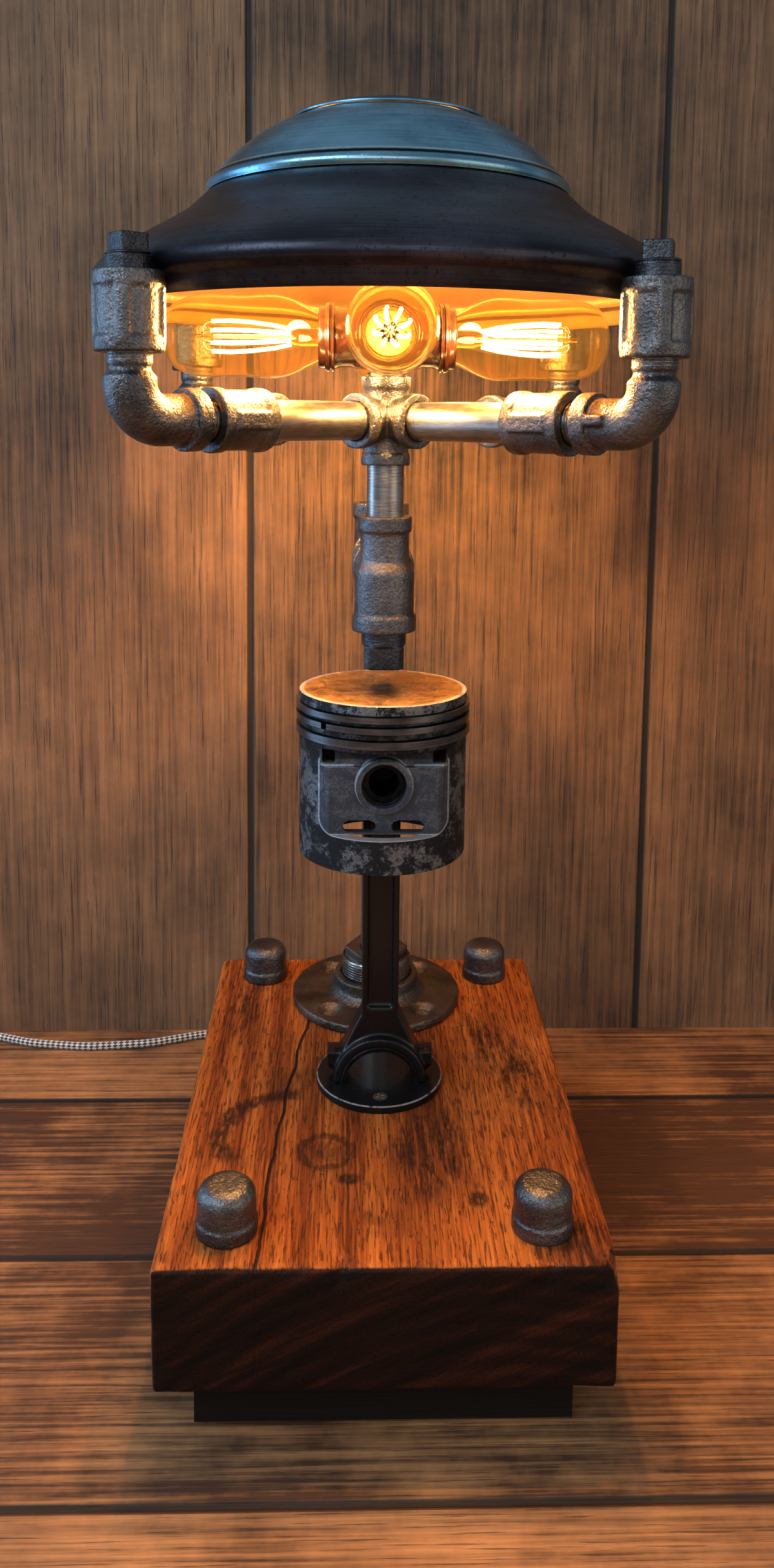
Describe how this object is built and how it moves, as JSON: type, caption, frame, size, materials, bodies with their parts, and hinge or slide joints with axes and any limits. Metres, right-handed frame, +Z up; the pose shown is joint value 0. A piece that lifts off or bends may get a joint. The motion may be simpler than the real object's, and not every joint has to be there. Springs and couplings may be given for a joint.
{
  "type": "industrial pipe table lamp",
  "caption": "Table lamp of iron pipe fittings on a wooden block, with a domed steel shade, a four-way holder with tubular bulbs and an engine piston on its rod.",
  "frame": {"origin": "on the table, under the middle of the wooden base", "axes": "+Z up, the lamp faces -Y, +X to the right as seen from the front"},
  "size_m": [0.5733, 0.4216, 0.666],
  "materials": {
    "old_wood": "worn, oiled",
    "black_wood": "black stain",
    "felt": "felt",
    "dowel_wood": "plain",
    "iron": "gunmetal, dark",
    "pipe_steel": "satin",
    "screw_steel": "zinc plated, dull",
    "black_rod": "gloss black",
    "piston_alloy": "worn, mottled",
    "ring_iron": "worn",
    "brass": "satin",
    "bakelite": "brown, gloss",
    "black_trim": "matt black",
    "bulb_glass": "clear, amber tint",
    "stem_glass": "clear",
    "shade_steel": "brushed, darkened",
    "cloth_cord": "braided cloth, black and white",
    "wire": "black"
  },
  "bodies": {
    "base": {"base_block": "old_wood", "base_plinth": "black_wood", "foot_pads": "felt", "cap_dowels": "dowel_wood", "corner_caps": "iron", "rear_flange": "iron", "hex_bushing": "iron", "rear_tee": "iron", "reducing_tee": "iron", "rear_tee_plug": "iron", "drop_plug": "iron", "cross": "iron", "street_elbow_rear_right": "iron", "street_elbow_rear_left": "iron", "street_elbow_front_left": "iron", "street_elbow_front_right": "iron", "post_couplings": "iron", "arm_couplings": "iron", "post_plugs": "iron", "riser_pipe": "pipe_steel", "link_nipple": "pipe_steel", "stem_nipple": "pipe_steel", "arm_pipes": "pipe_steel", "close_nipples": "pipe_steel", "base_screws": "screw_steel", "con_rod": "black_rod", "foot_flange": "black_rod", "brass_adapter": "brass", "socket_liners": "brass", "holder_body": "bakelite", "holder_rings": "bakelite", "lock_ring": "black_trim", "cord_gland": "black_trim", "cord_plug": "black_trim", "cord_run": "cloth_cord", "cord_coil": "cloth_cord", "cord_tail": "cloth_cord", "lead_wire": "wire"},
    "shade": {"shade_cap": "shade_steel", "shade_dome": "shade_steel", "shade_skirt": "shade_steel"},
    "piston": {"piston": "piston_alloy", "gudgeon_pin": "ring_iron", "circlips": "ring_iron"},
    "top_ring": {"piston_top_ring": "ring_iron"},
    "second_ring": {"piston_second_ring": "ring_iron"},
    "oil_ring": {"piston_oil_ring": "ring_iron"},
    "bulb_right": {"bulb_glass_right": "bulb_glass", "bulb_cap_right": "brass", "bulb_stem_right": "stem_glass"},
    "bulb_rear": {"bulb_glass_rear": "bulb_glass", "bulb_cap_rear": "brass", "bulb_stem_rear": "stem_glass"},
    "bulb_left": {"bulb_glass_left": "bulb_glass", "bulb_cap_left": "brass", "bulb_stem_left": "stem_glass"},
    "bulb_front": {"bulb_glass_front": "bulb_glass", "bulb_cap_front": "brass", "bulb_stem_front": "stem_glass"}
  },
  "joints": [
    {"name": "shade_lift", "type": "slide", "parent": "base", "child": "shade", "axis": [0, 0, 1], "range_m": [0, 0.06]},
    {"name": "piston_rock", "type": "hinge", "parent": "base", "child": "piston", "pos_m": [0, 0, 0.29], "axis": [0, 1, 0], "range_deg": [-4, 4]},
    {"name": "top_ring_spin", "type": "hinge", "parent": "piston", "child": "top_ring", "pos_m": [0, 0, 0.32], "axis": [0, 0, 1], "continuous": true},
    {"name": "second_ring_spin", "type": "hinge", "parent": "piston", "child": "second_ring", "pos_m": [0, 0, 0.32], "axis": [0, 0, 1], "continuous": true},
    {"name": "oil_ring_spin", "type": "hinge", "parent": "piston", "child": "oil_ring", "pos_m": [0, 0, 0.32], "axis": [0, 0, 1], "continuous": true},
    {"name": "bulb_right_turn", "type": "hinge", "parent": "base", "child": "bulb_right", "pos_m": [0, 0, 0.5385], "axis": [1, 0, 0], "continuous": true},
    {"name": "bulb_rear_turn", "type": "hinge", "parent": "base", "child": "bulb_rear", "pos_m": [0, 0, 0.5385], "axis": [0, 1, 0], "continuous": true},
    {"name": "bulb_left_turn", "type": "hinge", "parent": "base", "child": "bulb_left", "pos_m": [0, 0, 0.5385], "axis": [-1, 0, 0], "continuous": true},
    {"name": "bulb_front_turn", "type": "hinge", "parent": "base", "child": "bulb_front", "pos_m": [0, 0, 0.5385], "axis": [0, -1, 0], "continuous": true}
  ]
}
